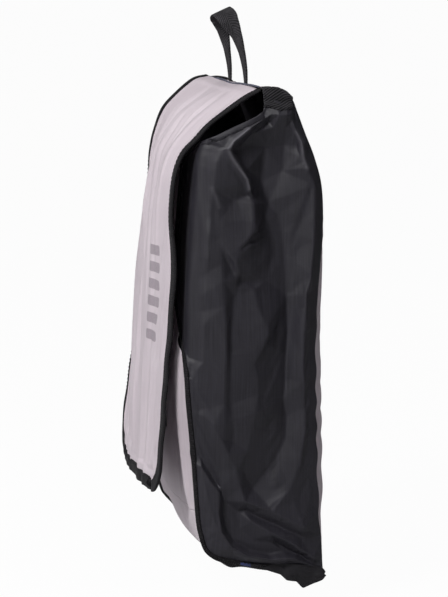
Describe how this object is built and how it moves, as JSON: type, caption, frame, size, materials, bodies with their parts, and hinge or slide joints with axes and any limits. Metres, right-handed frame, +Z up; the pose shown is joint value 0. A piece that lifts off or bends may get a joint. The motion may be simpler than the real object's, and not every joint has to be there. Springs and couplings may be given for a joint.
{
  "type": "shoe bag",
  "caption": "Soft hanging shoe bag with a long front flap, side gussets, taped edges and a webbing loop at the top.",
  "frame": {"origin": "on the base panel's underside, at the middle of the width and 52 mm in front of the back panel's lower edge", "axes": "+X across the width towards gusset_right, -Y the front with the flap, +Z up towards the hanging loop as the bag hangs"},
  "size_m": [0.227, 0.1389, 0.433],
  "materials": {
    "pale_fabric": "matte coated polyester, fine plain weave",
    "black_fabric": "semi-matte black nylon taffeta with a soft sheen",
    "black_tape": "matte black grosgrain binding tape",
    "black_webbing": "matte black woven webbing",
    "black_thread": "black polyester sewing thread",
    "hook_fastener": "black moulded hooks",
    "loop_fastener": "black brushed loop pile",
    "blue_label": "plain blue woven label"
  },
  "bodies": {
    "bag": {"back_panel": "pale_fabric", "base_panel": "pale_fabric", "gusset_left": "black_fabric", "gusset_right": "black_fabric", "side_binding_left": "black_tape", "side_binding_right": "black_tape", "mouth_hem_left": "black_fabric", "mouth_hem_right": "black_fabric", "back_seam_tape_left": "black_tape", "back_seam_tape_right": "black_tape", "corner_tab_left": "black_webbing", "corner_tab_right": "black_webbing", "heel_tab_left": "black_tape", "heel_tab_right": "black_tape", "ridge_tape": "black_tape", "seam_label": "blue_label", "handle_tails": "black_webbing", "handle_bartacks": "black_thread"},
    "front": {"front_panel": "pale_fabric", "front_hem": "pale_fabric", "loop_strip": "loop_fastener"},
    "flap_upper": {"flap_top_panel": "pale_fabric", "flap_top_binding_left": "black_tape", "flap_top_binding_right": "black_tape"},
    "flap_lower": {"flap_front_panel": "pale_fabric", "flap_front_binding": "black_tape", "hook_strip": "hook_fastener"},
    "handle": {"handle_loop": "black_webbing"}
  },
  "joints": [
    {"name": "flap_lift", "type": "hinge", "parent": "bag", "child": "flap_upper", "pos_m": [0, 0.0027, 0.3654], "axis": [-1, 0, 0], "range_deg": [0, 95]},
    {"name": "flap_bend", "type": "hinge", "parent": "flap_upper", "child": "flap_lower", "pos_m": [0, -0.0612, 0.307], "axis": [-1, 0, 0], "range_deg": [-2, 75]},
    {"name": "handle_tilt", "type": "hinge", "parent": "bag", "child": "handle", "pos_m": [0, 0.007, 0.3678], "axis": [-1, 0, 0], "range_deg": [-10, 95]},
    {"name": "mouth_close", "type": "hinge", "parent": "bag", "child": "front", "pos_m": [0, -0.0459, 0.025], "axis": [-1, 0, 0], "range_deg": [0, 8]}
  ]
}
